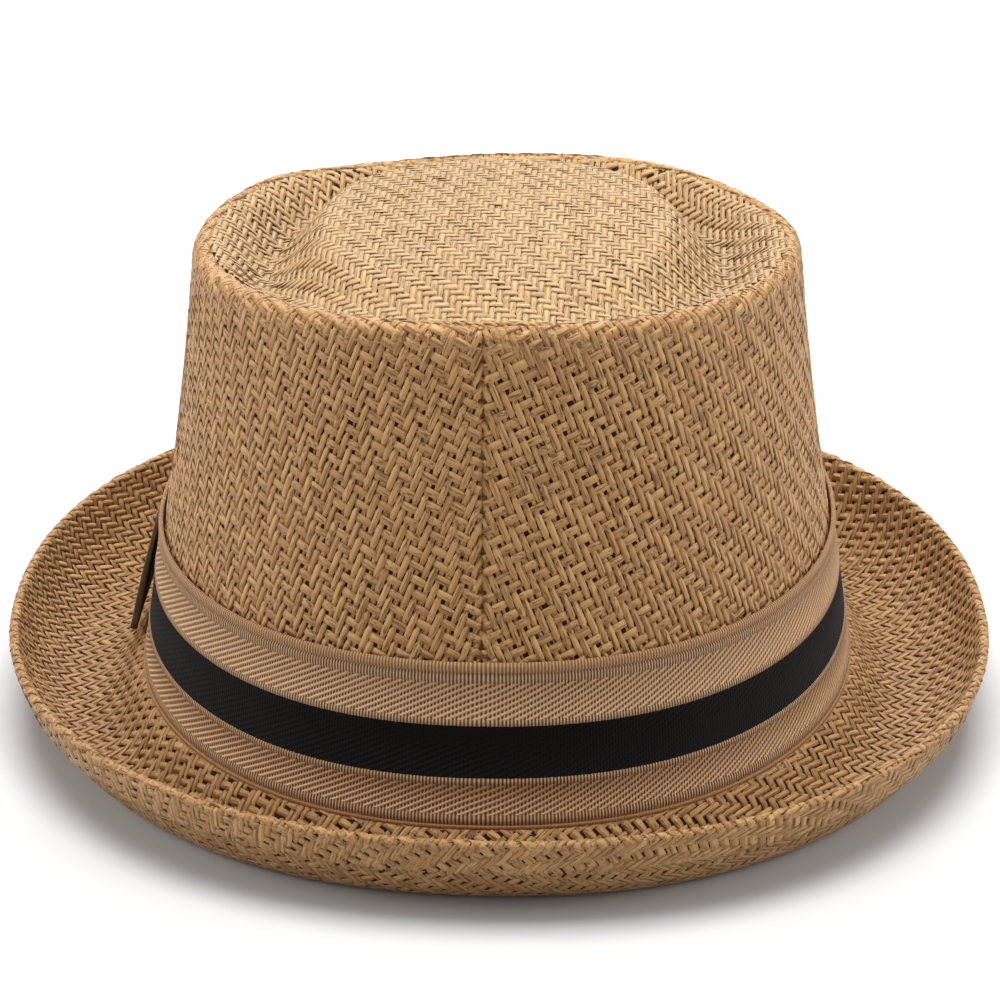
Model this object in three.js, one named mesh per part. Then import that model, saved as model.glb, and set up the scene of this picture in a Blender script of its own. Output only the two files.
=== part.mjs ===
// Porkpie hat of woven paper straw, with a striped ribbon band and a small leather tab.
// Millimetres, +Z up. The wearer faces -Y, and the seam at the back of the crown is at +Y.
// The origin lies on the surface that the brim rests on, under the middle of the hat.

import * as THREE from 'three';

// Head ring, where crown and brim meet, on the outer face of the straw
const headHalfWidth = 85.5;
const headHalfLength = 101.5;
const headHeight = 9;
const headSideRise = 3;
const ovalPower = 2.2;

// Crest, the ring along the top of the fold round the crown
const crestHalfWidth = 69.3;
const crestHalfLength = 85;
const crestHeight = 115.5;
const crestSlope = 6.5;
const crestFoldRadius = 3;
const crestDent = 1.5;

// Tip, the sunk top with a groove inside the crest
const grooveInset = { side: 15, front: 8, back: 4 };
const grooveDepth = { side: 8.5, front: 5, back: 0.5 };
const plateauRise = 8;
const plateauFall = { side: 5.5, front: 12, back: 1 };
const plateauTopShift = 50;
const plateauShoulder = 0.26;

// Brim
const brimReach = { side: 34.5, front: 40, back: 31 };
const brimSkew = 1.4;
const lipHeight = 19.4;
const flangeDepth = 2.8;

// Walls and clearances
const strawThickness = 1.8;
const seamGap = 0.3;

// Ribbon band
const bandHeight = 38;
const bandThickness = 1.3;
const bandTopSideDrop = 2;
const bandGap = 0.3;

// Leather tab on the wearer's left
const tabLength = 36;
const tabHeight = 33.5;
const tabThickness = 1.6;
const tabCornerRadius = 4;
const tabEdgeBevel = 0.4;
const tabLean = 13.8;
const tabBackEnd = 5;
const tabDrop = 0.4;
const tabGap = 0.3;

// Steps round the hat
const stepsRound = 56;

// The hat's length is centred on the origin, so the crown sits behind it.
const crownCentreY = (brimReach.front - brimReach.back) / 2;

// Crown wall from the head ring to the fold: rise and inset as shares of the whole wall
const wallRows = [
  { up: 0, inset: 0 },
  { up: 0.18, inset: 0.2 },
  { up: 0.37, inset: 0.4 },
  { up: 0.54, inset: 0.6 },
  { up: 0.7, inset: 0.76 },
  { up: 0.86, inset: 0.9 },
  { up: 1, inset: 1 },
];

// Fold at the crest: degrees above the level, from the wall to the top
const foldAngles = [10, 38, 64, 90];

// Dents along the crest: where they lie in degrees from the wearer's left towards the back,
// how far they spread, and their lift and inward push as shares of the crest dent
const crestDents = [
  { at: -66, spread: 22, lift: -0.9, push: 0 },
  { at: -36, spread: 12, lift: 0.4, push: -0.3 },
  { at: -152, spread: 22, lift: -1, push: 0.5 },
];

// Tip from the seam at the crest to the bottom of the groove, as shares of inset and depth
const grooveRows = [
  { inset: 0, down: 0 },
  { inset: 0.28, down: 0.12 },
  { inset: 0.58, down: 0.5 },
  { inset: 0.84, down: 0.9 },
  { inset: 1, down: 1 },
];

// Tip from the groove to the middle: sizes of the rings as shares of the groove's ring
const plateauRings = [0.92, 0.83, 0.7, 0.5, 0.26, 0];

// Underside of the brim: way out as a share of the reach, height as a share of the head ring
// and of the lip, and thickness as a share of the straw, which is double at the folded edge
const brimRows = [
  { out: 0.03, head: 1, lip: 0, thickness: 1 },
  { out: 0.1, head: 0.62, lip: 0, thickness: 1 },
  { out: 0.19, head: 0.27, lip: 0, thickness: 1 },
  { out: 0.3, head: 0.06, lip: 0, thickness: 1 },
  { out: 0.4, head: 0, lip: 0, thickness: 1 },
  { out: 0.52, head: 0, lip: 0, thickness: 1 },
  { out: 0.65, head: 0, lip: 0.055, thickness: 1 },
  { out: 0.78, head: 0, lip: 0.2, thickness: 1 },
  { out: 0.89, head: 0, lip: 0.44, thickness: 1.05 },
  { out: 0.96, head: 0, lip: 0.7, thickness: 1.4 },
  { out: 1, head: 0, lip: 0.95, thickness: 1.4 },
];

// Outer face of the ribbon: rise as a share of its height, and thickness as a share of its own
const bandRows = [
  { up: 0, thickness: 1 },
  { up: 0.04, thickness: 1.35 },
  { up: 0.08, thickness: 1 },
  { up: 0.5, thickness: 1 },
  { up: 0.93, thickness: 1 },
  { up: 0.96, thickness: 1.35 },
  { up: 1, thickness: 1 },
];

// Inner face of the ribbon: rises as shares of its height
const bandLiningRises = [1, 0.75, 0.5, 0.25, 0];

// Row of the ribbon's face where the leather tab touches it, just under the upper rolled edge
const tabSeatRow = bandRows[4];

// Sections along the leather tab: places as shares of its length, closest at the round corners
const tabSections = [0, 0.03, 0.11, 0.3, 0.5, 0.7, 0.89, 0.97, 1];

const { degToRad, lerp, smoothstep } = THREE.MathUtils;
const straight = new THREE.Vector3(0, 0, 1);

// A point of the oval with half width and half length 1
function ovalPoint(turn) {
  const power = 2 / ovalPower;
  const x = Math.cos(turn);
  const y = Math.sin(turn);
  return {
    x: Math.sign(x) * Math.abs(x) ** power,
    y: Math.sign(y) * Math.abs(y) ** power,
  };
}

// How much of a direction is sideways: 1 at the left and right, 0 at front and back
function sideShare(turn) {
  return Math.abs(ovalPoint(turn).x) ** ovalPower;
}

// A size that is given for the side, the front and the back, worked out between them
function blendRound(size, turn) {
  const end = Math.sin(turn) > 0 ? size.back : size.front;
  return lerp(end, size.side, sideShare(turn));
}

// Outward direction of an oval seen from above
function ovalOutward(turn, halfWidth, halfLength) {
  const { x, y } = ovalPoint(turn);
  const power = ovalPower - 1;
  return new THREE.Vector3(
    (Math.sign(x) * Math.abs(x) ** power) / halfWidth,
    (Math.sign(y) * Math.abs(y) ** power) / halfLength,
    0,
  ).normalize();
}

// A point of the head ring
function headPoint(turn) {
  const { x, y } = ovalPoint(turn);
  return new THREE.Vector3(
    headHalfWidth * x,
    crownCentreY + headHalfLength * y,
    headHeight + headSideRise * sideShare(turn),
  );
}

// Sum of the crest's dents at a turn, for the lift or the push
function crestDentAt(turn, column) {
  let sum = 0;
  for (const dent of crestDents) {
    const away = Math.atan2(Math.sin(turn - degToRad(dent.at)), Math.cos(turn - degToRad(dent.at)));
    sum += dent[column] * Math.exp(-((away / degToRad(dent.spread)) ** 2));
  }
  return sum * crestDent;
}

// A point on top of the crest, moved inward and down as asked
function crestPoint(turn, inset, down) {
  const { x, y } = ovalPoint(turn);
  const outward = ovalOutward(turn, crestHalfWidth, crestHalfLength);
  return new THREE.Vector3(
    crestHalfWidth * x,
    crownCentreY + crestHalfLength * y,
    crestHeight + crestSlope * y + crestDentAt(turn, 'lift') - down,
  ).addScaledVector(outward, -inset - crestDentAt(turn, 'push'));
}

// A point of the fold, from the top of the wall over to the crest
function foldPoint(turn, degrees) {
  const angle = degToRad(degrees);
  const drop = crestFoldRadius * (1 - Math.sin(angle));
  return crestPoint(turn, -crestFoldRadius * Math.cos(angle), drop);
}

// A point of the crown wall's outer face, at a share of its height
function wallPoint(turn, up) {
  const bottom = headPoint(turn);
  const top = foldPoint(turn, foldAngles[0]);
  let lower = wallRows[0];
  let upper = wallRows[1];
  for (let row = 2; row < wallRows.length && up > upper.up; row += 1) {
    lower = upper;
    upper = wallRows[row];
  }
  const inset = lerp(lower.inset, upper.inset, (up - lower.up) / (upper.up - lower.up));
  return new THREE.Vector3(
    lerp(bottom.x, top.x, inset),
    lerp(bottom.y, top.y, inset),
    lerp(bottom.z, top.z, up),
  );
}

// A point of the tip's bowed top between the groove and the middle
function plateauPoint(turn, share) {
  const groove = crestPoint(turn, blendRound(grooveInset, turn), blendRound(grooveDepth, turn));
  const x = groove.x * share;
  const y = (groove.y - crownCentreY) * share;
  const away = y - plateauTopShift;
  const reach = away < 0 ? crestHalfLength + plateauTopShift : crestHalfLength - plateauTopShift;
  const lengthFall = (away < 0 ? plateauFall.front : plateauFall.back) * (away / reach) ** 2;
  const widthFall = plateauFall.side * (x / crestHalfWidth) ** 2;
  const top = crestHeight + plateauRise - lengthFall - widthFall;
  const z = lerp(groove.z, top, smoothstep(1 - share, 0, plateauShoulder));
  return new THREE.Vector3(x, crownCentreY + y, z);
}

// Reach of the brim, which is pulled a little towards the front left and the back right
function brimReachAt(turn) {
  const { x, y } = ovalPoint(turn);
  return blendRound(brimReach, turn) - brimSkew * 2 * x * y;
}

// A point of the brim's underside
function brimPoint(turn, row) {
  const head = headPoint(turn);
  const outward = ovalOutward(turn, headHalfWidth, headHalfLength);
  const flangeUnder = head.z - seamGap - strawThickness;
  head.z = flangeUnder * row.head + lipHeight * row.lip;
  return head.addScaledVector(outward, brimReachAt(turn) * row.out);
}

// A point of the brim's inner edge, under the crown wall
function flangePoint(turn) {
  const head = headPoint(turn);
  head.z -= seamGap + strawThickness;
  return head.addScaledVector(ovalOutward(turn, headHalfWidth, headHalfLength), -flangeDepth);
}

// A point at a share of the ribbon's height, a way out from the crown wall
function bandPoint(turn, up, out) {
  const bottom = wallPoint(turn, 0).z;
  const wallHeight = wallPoint(turn, 1).z - bottom;
  const height = bandHeight - bandTopSideDrop * sideShare(turn) - bandGap;
  const rise = bandGap + height * up;
  return wallPoint(turn, rise / wallHeight)
    .addScaledVector(ovalOutward(turn, headHalfWidth, headHalfLength), out);
}

// One closed ring of points round the hat
function ringOf(pointAt) {
  const ring = [];
  for (let step = 0; step < stepsRound; step += 1) {
    ring.push(pointAt((step / stepsRound) * 2 * Math.PI));
  }
  return ring;
}

// Outward direction at a ring's point, from its neighbours on the ring and on the next rings
function sheetNormal(rings, row, step) {
  const ring = rings[row];
  const before = ring[(step + stepsRound - 1) % stepsRound];
  const after = ring[(step + 1) % stepsRound];
  const lower = rings[Math.max(row - 1, 0)];
  const upper = rings[Math.min(row + 1, rings.length - 1)];
  const along = after.clone().sub(before);
  const across = upper[step % upper.length].clone().sub(lower[step % lower.length]);
  return along.cross(across).normalize();
}

// The other face of a sheet, behind its rings. A flat edge goes straight down.
function sheetBack(rings, thicknessAt, flatEdges) {
  return rings.map((ring, row) => ring.map((point, step) => {
    const atPole = ring.length === 1;
    const flat = atPole || (flatEdges.first && row === 0)
      || (flatEdges.last && row === rings.length - 1);
    const outward = flat ? straight.clone() : sheetNormal(rings, row, step);
    return point.clone().addScaledVector(outward, -thicknessAt(row));
  }));
}

// A closed solid through rings of points. A ring of one point is a pole.
function loftRings(rings, joinsUp) {
  const positions = rings.flat().flatMap((point) => [point.x, point.y, point.z]);
  const around = Math.max(...rings.map((ring) => ring.length));
  const starts = [];
  let count = 0;
  for (const ring of rings) {
    starts.push(count);
    count += ring.length;
  }
  const faces = [];
  const bands = joinsUp ? rings.length : rings.length - 1;
  for (let row = 0; row < bands; row += 1) {
    const next = (row + 1) % rings.length;
    for (let step = 0; step < around; step += 1) {
      const other = (step + 1) % around;
      const a = starts[row] + (step % rings[row].length);
      const b = starts[row] + (other % rings[row].length);
      const c = starts[next] + (other % rings[next].length);
      const d = starts[next] + (step % rings[next].length);
      if (a !== b) faces.push(a, b, c);
      if (c !== d) faces.push(a, c, d);
    }
  }
  const geometry = new THREE.BufferGeometry();
  geometry.setAttribute('position', new THREE.Float32BufferAttribute(positions, 3));
  geometry.setIndex(faces);
  geometry.computeVertexNormals();
  return geometry;
}

// A mesh with its name and its own material
function namedMesh(name, geometry, color, roughness) {
  const material = new THREE.MeshStandardMaterial({ color, roughness, metalness: 0 });
  const mesh = new THREE.Mesh(geometry, material);
  mesh.name = name;
  return mesh;
}

// Crown side: one wall of straw from the head ring up and over the fold to the crest
function makeCrownSide() {
  const wall = wallRows.map((row) => ringOf((turn) => wallPoint(turn, row.up)));
  const fold = foldAngles.slice(1).map((angle) => ringOf((turn) => foldPoint(turn, angle)));
  const outer = [...wall, ...fold];
  const inner = sheetBack(outer, () => strawThickness, { first: false, last: true });
  return namedMesh('crown_side', loftRings([...outer, ...inner.reverse()], true), 0xc09a68, 0.75);
}

// Crown tip: the top sheet, which sinks into a groove inside the crest and bows up again
function makeCrownTip() {
  const groove = grooveRows.map((row) => ringOf((turn) => {
    const inset = lerp(seamGap, blendRound(grooveInset, turn), row.inset);
    return crestPoint(turn, inset, blendRound(grooveDepth, turn) * row.down);
  }));
  const plateau = plateauRings.map((share) => (
    share > 0 ? ringOf((turn) => plateauPoint(turn, share)) : [plateauPoint(0, 0)]
  ));
  const top = [...groove, ...plateau];
  const under = sheetBack(top, () => strawThickness, { first: true, last: true });
  // The upper and the lower sheet share no pole, and meet along the seam's edge.
  const rings = [...under.reverse(), ...top];
  return namedMesh('crown_tip', loftRings(rings, false), 0xc9a473, 0.75);
}

// Brim: a dished sheet that turns up to a folded edge
function makeBrim() {
  const under = [
    ringOf(flangePoint),
    ...brimRows.map((row) => ringOf((turn) => brimPoint(turn, row))),
  ];
  const thicknesses = [1, ...brimRows.map((row) => row.thickness)];
  const top = sheetBack(under, (row) => strawThickness * thicknesses[row], { first: true });
  const lastUnder = under[under.length - 1];
  const lastTop = top[top.length - 1];
  const lip = lastUnder.map((point, step) => (
    point.clone().add(lastTop[step]).multiplyScalar(0.5).add(
      new THREE.Vector3(0, 0, strawThickness * 0.5),
    )
  ));
  return namedMesh('brim', loftRings([...under, lip, ...top.reverse()], true), 0xb88f5c, 0.8);
}

// Hat band: a woven ribbon with a rolled edge above and below
function makeHatBand() {
  const face = bandRows.map((row) => ringOf((turn) => (
    bandPoint(turn, row.up, bandGap + bandThickness * row.thickness)
  )));
  const lining = bandLiningRises.map((up) => ringOf((turn) => bandPoint(turn, up, bandGap)));
  return namedMesh('hat_band', loftRings([...face, ...lining], true), 0xa98a66, 0.85);
}

// One section of the leather tab, at a share of its length from the front end
function tabSection(share) {
  const out = bandGap + bandThickness * tabSeatRow.thickness + tabGap;
  const seatHalfLength = bandPoint(Math.PI / 2, tabSeatRow.up, out).y - crownCentreY;
  const y = tabBackEnd - tabLength * (1 - share);
  const turn = Math.asin(Math.sign(y) * Math.abs(y / seatHalfLength) ** (ovalPower / 2));
  const seat = bandPoint(turn, tabSeatRow.up, out);
  const outward = ovalOutward(turn, headHalfWidth, headHalfLength);
  const lean = degToRad(tabLean);
  const down = outward.clone().multiplyScalar(Math.sin(lean)).addScaledVector(straight, -Math.cos(lean));
  const face = outward.clone().multiplyScalar(Math.cos(lean)).addScaledVector(straight, Math.sin(lean));
  const fromEnd = Math.min(share, 1 - share) * tabLength;
  const intoCorner = Math.max(tabCornerRadius - fromEnd, 0);
  const corner = tabCornerRadius - Math.sqrt(tabCornerRadius ** 2 - intoCorner ** 2);
  const top = tabDrop + corner;
  const bottom = tabDrop + tabHeight - corner;
  const bevel = tabEdgeBevel;
  const loop = [
    { drop: top + bevel, out: tabThickness },
    { drop: bottom - bevel, out: tabThickness },
    { drop: bottom, out: tabThickness - bevel },
    { drop: bottom, out: bevel },
    { drop: bottom - bevel, out: 0 },
    { drop: top + bevel, out: 0 },
    { drop: top, out: bevel },
    { drop: top, out: tabThickness - bevel },
  ];
  return loop.map((corners) => (
    seat.clone().addScaledVector(down, corners.drop).addScaledVector(face, corners.out)
  ));
}

// The middle of a ring, which closes the end of a solid
function ringMiddle(ring) {
  const middle = new THREE.Vector3();
  for (const point of ring) middle.addScaledVector(point, 1 / ring.length);
  return [middle];
}

// Leather tab: a stiff plate that touches the ribbon at its top and stands off below
function makeLeatherTab() {
  const sections = tabSections.map(tabSection);
  const ends = [ringMiddle(sections[0]), ringMiddle(sections[sections.length - 1])];
  const rings = [ends[0], ...sections, ends[1]];
  return namedMesh('leather_tab', loftRings(rings, false), 0x3a2517, 0.6);
}

const hat = new THREE.Group();
hat.name = 'porkpie_hat';
hat.add(makeCrownSide());
hat.add(makeCrownTip());
hat.add(makeBrim());
hat.add(makeHatBand());
hat.add(makeLeatherTab());

export default hat;
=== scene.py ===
"""Looks of the porkpie hat: woven straw, striped ribbon, leather tab and a plain studio."""

import math

import bmesh
import bpy
import numpy as np
from bpy.props import FloatProperty, FloatVectorProperty, IntProperty, PointerProperty
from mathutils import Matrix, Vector
from mathutils.bvhtree import BVHTree


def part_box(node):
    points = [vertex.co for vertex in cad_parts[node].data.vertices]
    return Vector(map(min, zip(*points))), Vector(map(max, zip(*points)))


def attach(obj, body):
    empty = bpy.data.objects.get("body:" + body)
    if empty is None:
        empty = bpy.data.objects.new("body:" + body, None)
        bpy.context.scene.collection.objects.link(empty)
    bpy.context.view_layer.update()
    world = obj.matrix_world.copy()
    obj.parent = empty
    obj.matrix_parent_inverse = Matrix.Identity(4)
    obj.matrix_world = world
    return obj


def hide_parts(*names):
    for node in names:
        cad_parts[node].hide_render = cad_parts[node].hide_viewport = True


bl_info = {
    "name": "Straw Porkpie Hat",
    "version": (1, 0, 0),
    "blender": (4, 5, 0),
    "location": "3D View > Sidebar > Hat",
    "description": "Weaves a straw porkpie hat and dresses it with a ribbon and a leather tab",
    "category": "Object",
}

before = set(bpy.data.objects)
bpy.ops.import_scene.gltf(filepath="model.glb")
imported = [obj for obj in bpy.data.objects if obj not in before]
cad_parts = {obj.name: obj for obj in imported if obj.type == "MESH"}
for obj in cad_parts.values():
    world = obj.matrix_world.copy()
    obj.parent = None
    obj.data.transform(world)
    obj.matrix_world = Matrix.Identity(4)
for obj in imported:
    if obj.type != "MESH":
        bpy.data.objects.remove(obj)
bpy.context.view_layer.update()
MM = 0.001

# The crown's node gives the head ring
CROWN_LOW, CROWN_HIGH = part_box("crown_side")
HEAD_HALF_WIDTH = (CROWN_HIGH.x - CROWN_LOW.x) / 2
HEAD_HALF_LENGTH = (CROWN_HIGH.y - CROWN_LOW.y) / 2
CROWN_CENTRE_Y = (CROWN_HIGH.y + CROWN_LOW.y) / 2
HEAD_HEIGHT = 9 * MM
HEAD_SIDE_RISE = 3 * MM
OVAL_POWER = 2.2

CREST_HALF_WIDTH = 69.3 * MM
CREST_HALF_LENGTH = 85 * MM
CREST_HEIGHT = 115.5 * MM
CREST_SLOPE = 6.5 * MM
CREST_FOLD_RADIUS = 3 * MM
CREST_DENT = 1.5 * MM

# Sizes given for the side, the front and the back
GROOVE_INSET = {"side": 15 * MM, "front": 8 * MM, "back": 4 * MM}
GROOVE_DEPTH = {"side": 8.5 * MM, "front": 5 * MM, "back": 0.5 * MM}
BRIM_REACH = {"side": 34.5 * MM, "front": 40 * MM, "back": 31 * MM}
PLATEAU_RISE = 8 * MM
PLATEAU_FALL = {"side": 5.5 * MM, "front": 12 * MM, "back": 1 * MM}
PLATEAU_TOP_SHIFT = 50 * MM
PLATEAU_SHOULDER = 0.26
BRIM_SKEW = 1.4 * MM
LIP_HEIGHT = 19.4 * MM
WALL_THICKNESS = 1.8 * MM
SEAM_GAP = 0.3 * MM

# The tip's seam lies inside the crest, and farther in at one place on the back left
CREST_SEAM = {"inset": 0.6 * MM, "farther": 1.9 * MM,
              "at": math.radians(48), "spread": math.radians(34)}
# The tip's cloth starts under the wall's and sinks into the seam, deeper where the seam is
# farther in
TIP_UNDERLAP = 1.2 * MM
TIP_CREASE = {"reach": 1.3 * MM, "depth": 0.35 * MM, "deeper": 0.8}
# The wall's two ends turn in at the back seam
BACK_SEAM = {"reach": 1.1 * MM, "depth": 0.8 * MM}
# Cloth is pressed flat over the crest and the lip: where that starts and how soon it is full
CREST_PRESS = {"before_end": 12.8 * MM, "over": 4 * MM}
LIP_PRESS = {"before_lip": 2.1 * MM, "over": 3 * MM}
CREST_STITCH = {"rise": 0.985, "pitch": 4.2 * MM}
TAB_STITCH_PITCH = 2.9 * MM
# Twisted straw along the seam at the back of the crest: where it runs in degrees, how wide it
# rises there and the length of one twist
CREST_ROLL = {"from": 62, "to": 118, "spread": math.radians(15), "twist": 7 * MM}

BAND_HEIGHT = 38 * MM
BAND_TOP_SIDE_DROP = 2 * MM
BAND_GAP = 0.3 * MM

# The ribbon's face lies this far out from the wall, under its ribs and rolls
RIBBON_FACE = 1.25 * MM
RIBBON_COLUMNS = 260

TAB_LENGTH = 36 * MM
TAB_HEIGHT = 33.5 * MM
TAB_THICKNESS = 1.6 * MM
TAB_CORNER_RADIUS = 4 * MM
TAB_LEAN = math.radians(12.8)
TAB_BACK_END = 5 * MM
TAB_DROP = 2 * MM
TAB_GAP = 0.05 * MM
TAB_SEAT_RISE = 0.93
TAB_EDGE_ROUNDING = 0.35 * MM
TAB_WORN_RIM = 1.2 * MM
# The leather is thinned to a share at its top, and is full at a share of its height below
TAB_THINNING = {"top": 0.55, "full_at": 0.55}

# Crown wall from the head ring to the fold: rise and inset as shares of the whole wall
WALL_ROWS = {
    "up": (0, 0.18, 0.37, 0.54, 0.7, 0.86, 1),
    "inset": (0, 0.2, 0.4, 0.6, 0.76, 0.9, 1),
}
FOLD_START = math.radians(10)

# Dents along the crest: place and spread in degrees, lift and inward push as shares of the dent
CREST_DENTS = (
    {"at": -66, "spread": 22, "lift": -0.9, "push": 0},
    {"at": -36, "spread": 12, "lift": 0.4, "push": -0.3},
    {"at": -152, "spread": 22, "lift": -1, "push": 0.5},
)

# Tip from the seam to the bottom of the groove, as shares of inset and depth
GROOVE_ROWS = {"inset": (0, 0.28, 0.58, 0.84, 1), "down": (0, 0.12, 0.5, 0.9, 1)}

# Underside of the brim: way out, height as shares of the head ring and of the lip, thickness
BRIM_ROWS = {
    "out": (0.03, 0.1, 0.19, 0.3, 0.4, 0.52, 0.65, 0.78, 0.89, 0.96, 1),
    "head": (1, 0.62, 0.27, 0.06, 0, 0, 0, 0, 0, 0, 0),
    "lip": (0, 0, 0, 0, 0, 0, 0.055, 0.2, 0.44, 0.7, 0.95),
    "thickness": (1, 1, 1, 1, 1, 1, 1, 1, 1.05, 1.4, 1.4),
}

# Stripes of the ribbon from its lower edge up: their tops as shares of its height, and how far
# they stand proud in millimetres. The lower edge hangs a little below the crown's wall.
BAND_FOOT = -0.055
BAND_STRIPES = (
    {"top": -0.028, "proud": 0.45, "weave": "rolled edge"},
    {"top": 0.0, "proud": 0.3, "weave": "rolled edge"},
    {"top": 0.062, "proud": 0.22, "weave": "upright ribs"},
    {"top": 0.244, "proud": 0.0, "weave": "twill"},
    {"top": 0.288, "proud": 0.16, "weave": "upright ribs"},
    {"top": 0.61, "proud": -0.05, "weave": "dark twill"},
    {"top": 0.65, "proud": 0.16, "weave": "upright ribs"},
    {"top": 0.872, "proud": 0.0, "weave": "twill"},
    {"top": 0.934, "proud": 0.22, "weave": "upright ribs"},
    {"top": 1.0, "proud": 0.5, "weave": "ribbed edge"},
)

# Columns round the hat, rows across a cloth's surface and steps across the brim's section
COLUMNS = 720
SHEET_ROWS = 151
BRIM_STEPS = 64

# Where a way round the hat starts, in degrees
BACK, FRONT = -270, -90
UP = np.array([0, 0, 1.0])

# The camera stands behind the hat, and its distance is level, from the crown's middle

CAMERA_DISTANCE = 0.9
CAMERA_HEIGHT = 0.4134
CAMERA_SIDEWAYS = -0.0004
CAMERA_PITCH = math.radians(22.19)
CAMERA_SWING = -0.038
CAMERA_LENS = 142.86
LIGHT_AIM = Vector((0, 0, 0.05))
LIGHTS = (
    {"name": "top", "place": (0, -0.35, 2.3), "size": 1.7, "power": 80},
    {"name": "front", "place": (0, -2.2, 1.2), "size": 1.6, "power": 26},
    {"name": "back", "place": (0, 2.2, 0.8), "size": 1.6, "power": 5},
    {"name": "left", "place": (1.8, 0.15, 0.9), "size": 1.2, "power": 21},
    {"name": "right", "place": (-1.8, 0.15, 0.9), "size": 1.2, "power": 21},
)


def length_setting(name, description, millimetres):
    """A length that a user can change."""
    return FloatProperty(name=name, description=description, default=millimetres * MM,
                         unit="LENGTH", precision=5)


def colour_setting(name, description, default):
    """A colour that a user can change."""
    return FloatVectorProperty(name=name, description=description, default=default,
                               subtype="COLOR")


class HatSizes(bpy.types.PropertyGroup):
    """Sizes of the straw, the ribbon and the tab's stitches that a user would change."""

    crown_warp_pitch: length_setting(
        "Crown warp pitch", "Distance between the crown's long strands", 1.66)
    crown_weft_pitch: length_setting(
        "Crown weft pitch", "Distance between the crown's cross strands", 2.66)
    tip_warp_pitch: length_setting(
        "Tip warp pitch", "Distance between the tip's strands from side to side", 1.5)
    tip_weft_pitch: length_setting(
        "Tip weft pitch", "Distance between the tip's strands from front to back", 2.85)
    brim_warp_pitch: length_setting(
        "Brim warp pitch", "Distance between the brim's long strands", 1.52)
    brim_weft_pitch: length_setting(
        "Brim weft pitch", "Distance between the brim's cross strands", 2.6)
    warp_fill: FloatProperty(
        name="Warp fill", description="Width of a long strand as a share of its pitch",
        default=0.89, subtype="FACTOR")
    weft_fill: FloatProperty(
        name="Weft fill", description="Width of a cross strand as a share of its pitch",
        default=0.7, subtype="FACTOR")
    strand_thickness: length_setting(
        "Strand thickness", "Thickness of one paper straw strand", 0.25)
    strand_relief: length_setting(
        "Strand relief", "How far a strand swings out and in as it weaves", 0.16)
    seam_grain_angle: FloatProperty(
        name="Seam grain angle", description="Lean of the long strands at the back seam",
        default=math.radians(24), subtype="ANGLE")
    brim_grain_angle: FloatProperty(
        name="Brim grain angle",
        description="Direction across the brim's long strands, from +X",
        default=math.radians(-40), subtype="ANGLE")
    hem_width: length_setting(
        "Hem width", "Straw that is folded back under the brim's lip", 9)
    ribbon_twill_pitch: length_setting(
        "Ribbon twill pitch", "Distance between the ribbon's slanting ridges", 1.25)
    ribbon_rib_pitch: length_setting(
        "Ribbon rib pitch", "Distance between the ribbon's upright ribs", 0.8)
    tab_stitch_inset: length_setting(
        "Tab stitch inset", "Distance of the tab's stitches from its top", 2.6)
    seed: IntProperty(
        name="Seed", description="Start of the strands' small differences", default=7)


class HatColours(bpy.types.PropertyGroup):
    """Colours of the hat and its stage."""

    straw_light: colour_setting(
        "Light straw", "The palest strands", (0.545, 0.317, 0.115))
    straw_dark: colour_setting(
        "Dark straw", "The brownest strands", (0.37, 0.175, 0.048))
    # The tip's palest straw is the crown's straw painted paler and less orange: painted sheen
    # from the light on top
    tip_light_painted_sheen: colour_setting(
        "Light straw of the tip", "The palest strands of the crown's tip", (0.53, 0.333, 0.138))
    ribbon_beige: colour_setting(
        "Ribbon beige", "The ribbon's pale stripes", (0.65, 0.4, 0.22))
    ribbon_edge: colour_setting(
        "Ribbon edge", "The ribbon's rolled edges", (0.46, 0.235, 0.1))
    ribbon_black: colour_setting(
        "Ribbon black", "The ribbon's middle stripe", (0.006, 0.0055, 0.006))
    leather: colour_setting(
        "Leather", "The leather tab", (0.047, 0.027, 0.018))
    leather_edge: colour_setting(
        "Leather edge", "The leather tab's worn edge", (0.13, 0.084, 0.055))
    thread: colour_setting(
        "Thread", "Sewing thread", (0.56, 0.36, 0.18))
    floor: colour_setting(
        "Floor", "The studio floor", (0.58, 0.58, 0.58))


# Shader maths


class Wire:
    """A material socket, on which maths reads as plain Python."""

    def __init__(self, finish, socket):
        self.finish = finish
        self.socket = socket

    def maths(self, operation, *values):
        return self.finish.node("ShaderNodeMath", {"operation": operation}, *values)[0]

    def __add__(self, other):
        return self.maths("ADD", self, other)

    __radd__ = __add__

    def __sub__(self, other):
        return self.maths("SUBTRACT", self, other)

    def __rsub__(self, other):
        return self.maths("SUBTRACT", other, self)

    def __mul__(self, other):
        return self.maths("MULTIPLY", self, other)

    __rmul__ = __mul__

    def __truediv__(self, other):
        return self.maths("DIVIDE", self, other)

    def __lt__(self, other):
        return self.maths("LESS_THAN", self, other)

    def __gt__(self, other):
        return self.maths("GREATER_THAN", self, other)

    def wave(self):
        """Cosine of this many whole turns, moved into the range from 0 to 1."""
        return self.maths("COSINE", self * math.tau) * 0.5 + 0.5


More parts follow.
